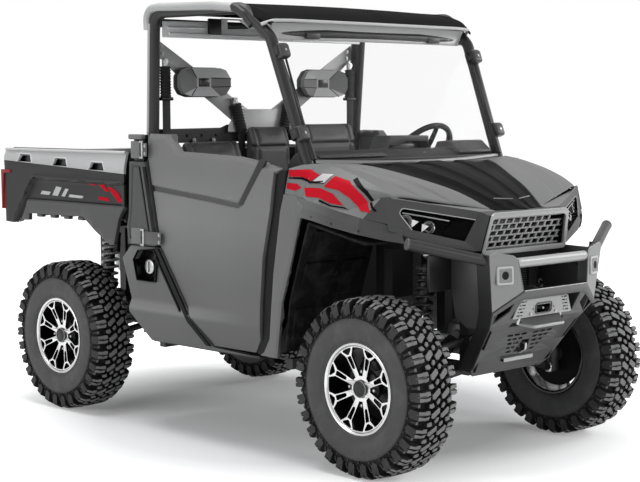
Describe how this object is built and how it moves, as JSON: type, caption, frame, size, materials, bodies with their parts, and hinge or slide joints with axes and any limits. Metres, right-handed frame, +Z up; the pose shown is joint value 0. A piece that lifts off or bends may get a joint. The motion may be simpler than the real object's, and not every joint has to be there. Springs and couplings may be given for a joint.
{
  "type": "side by side utility vehicle",
  "caption": "Off-road side by side utility vehicle with half doors, a roofed open cab, a winch bumper and a tilting cargo bed.",
  "frame": {"origin": "on the ground, below the centre of the bounding box", "axes": "+X forward, +Y to the driver's side (left), +Z up"},
  "size_m": [3.116, 1.494, 1.99],
  "materials": {
    "frame_black": "black powder coat",
    "engine_alloy": "cast alloy, dull",
    "spring_black": "gloss black paint",
    "knuckle_iron": "cast, painted dark",
    "trim_black": "moulded, fine grain",
    "seat_vinyl": "vinyl, satin",
    "grip_black": "soft grip",
    "brace_grey": "silver-grey paint",
    "roof_black": "moulded, satin",
    "clear_sheet": "clear",
    "body_grey": "satin metallic grey",
    "hood_black": "gloss black",
    "grille_grey": "satin grey",
    "lamp_lens": "clear lens over a black housing",
    "lamp_red": "red lens",
    "belt_webbing": "woven webbing",
    "bumper_grey": "dark grey powder coat",
    "bed_black": "moulded, satin",
    "tyre_rubber": "matte rubber",
    "wheel_silver": "machined face, black windows"
  },
  "bodies": {
    "chassis": {"main_frame": "frame_black", "engine_block": "engine_alloy", "muffler": "engine_alloy", "hitch_receiver": "frame_black", "drive_housings": "engine_alloy", "control_arms": "frame_black", "shocks": "spring_black", "half_shafts": "spring_black", "rear_hub_carriers": "knuckle_iron", "cab_tub": "trim_black", "seat_base": "trim_black", "seat_cushions": "seat_vinyl", "seat_backs": "seat_vinyl", "headrests": "seat_vinyl", "dashboard": "trim_black", "steering_column": "trim_black", "cage_sides": "frame_black", "cage_cross_members": "brace_grey", "roof_panel": "roof_black", "windshield": "clear_sheet", "windshield_trim": "trim_black", "hood": "body_grey", "hood_inset": "hood_black", "front_fascia": "trim_black", "grille": "grille_grey", "headlights": "lamp_lens", "front_fenders": "body_grey", "arch_liners": "trim_black", "side_sills": "body_grey", "hinge_posts": "body_grey", "seat_belts": "belt_webbing", "bumper_plate": "bumper_grey", "bumper_tubes": "bumper_grey", "winch": "spring_black"},
    "knuckle_right": {"knuckle_right": "knuckle_iron"},
    "knuckle_left": {"knuckle_left": "knuckle_iron"},
    "steering_wheel": {"steering_wheel": "grip_black"},
    "door_right": {"door_right": "body_grey"},
    "door_left": {"door_left": "body_grey"},
    "bed": {"cargo_bed": "bed_black", "bed_sides": "bed_black", "tail_lamps": "lamp_red"},
    "tailgate": {"tailgate": "bed_black"},
    "wheel_front_right": {"tyre_front_right": "tyre_rubber", "rim_front_right": "wheel_silver"},
    "wheel_front_left": {"tyre_front_left": "tyre_rubber", "rim_front_left": "wheel_silver"},
    "wheel_rear_right": {"tyre_rear_right": "tyre_rubber", "rim_rear_right": "wheel_silver"},
    "wheel_rear_left": {"tyre_rear_left": "tyre_rubber", "rim_rear_left": "wheel_silver"}
  },
  "joints": [
    {"name": "steer_right", "type": "hinge", "parent": "chassis", "child": "knuckle_right", "pos_m": [1.082, -0.552, 0.372], "axis": [0, 0, 1], "range_deg": [-28, 28]},
    {"name": "steer_left", "type": "hinge", "parent": "chassis", "child": "knuckle_left", "pos_m": [1.082, 0.552, 0.372], "axis": [0, 0, 1], "range_deg": [-28, 28]},
    {"name": "steering_turn", "type": "hinge", "parent": "chassis", "child": "steering_wheel", "pos_m": [0.4, 0.39, 1.29], "axis": [-0.7828, 0, 0.6223], "range_deg": [-252, 252]},
    {"name": "door_right_open", "type": "hinge", "parent": "chassis", "child": "door_right", "pos_m": [-0.314, -0.741, 1], "axis": [0, 0, -1], "range_deg": [0, 70]},
    {"name": "door_left_open", "type": "hinge", "parent": "chassis", "child": "door_left", "pos_m": [-0.314, 0.741, 1], "axis": [0, 0, 1], "range_deg": [0, 70]},
    {"name": "bed_tilt", "type": "hinge", "parent": "chassis", "child": "bed", "pos_m": [-1.41, 0, 0.945], "axis": [0, -1, 0], "range_deg": [0, 40]},
    {"name": "tailgate_drop", "type": "hinge", "parent": "bed", "child": "tailgate", "pos_m": [-1.5475, 0, 1], "axis": [0, -1, 0], "range_deg": [0, 90]},
    {"name": "wheel_front_right_spin", "type": "hinge", "parent": "knuckle_right", "child": "wheel_front_right", "pos_m": [1.082, -0.63, 0.372], "axis": [0, 1, 0], "continuous": true},
    {"name": "wheel_front_left_spin", "type": "hinge", "parent": "knuckle_left", "child": "wheel_front_left", "pos_m": [1.082, 0.63, 0.372], "axis": [0, 1, 0], "continuous": true},
    {"name": "wheel_rear_right_spin", "type": "hinge", "parent": "chassis", "child": "wheel_rear_right", "pos_m": [-1.048, -0.63, 0.372], "axis": [0, 1, 0], "continuous": true},
    {"name": "wheel_rear_left_spin", "type": "hinge", "parent": "chassis", "child": "wheel_rear_left", "pos_m": [-1.048, 0.63, 0.372], "axis": [0, 1, 0], "continuous": true}
  ],
  "couplings": [
    {"joint": "steer_left", "follows": "steer_right", "ratio": 1},
    {"joint": "steering_turn", "follows": "steer_right", "ratio": 9}
  ]
}
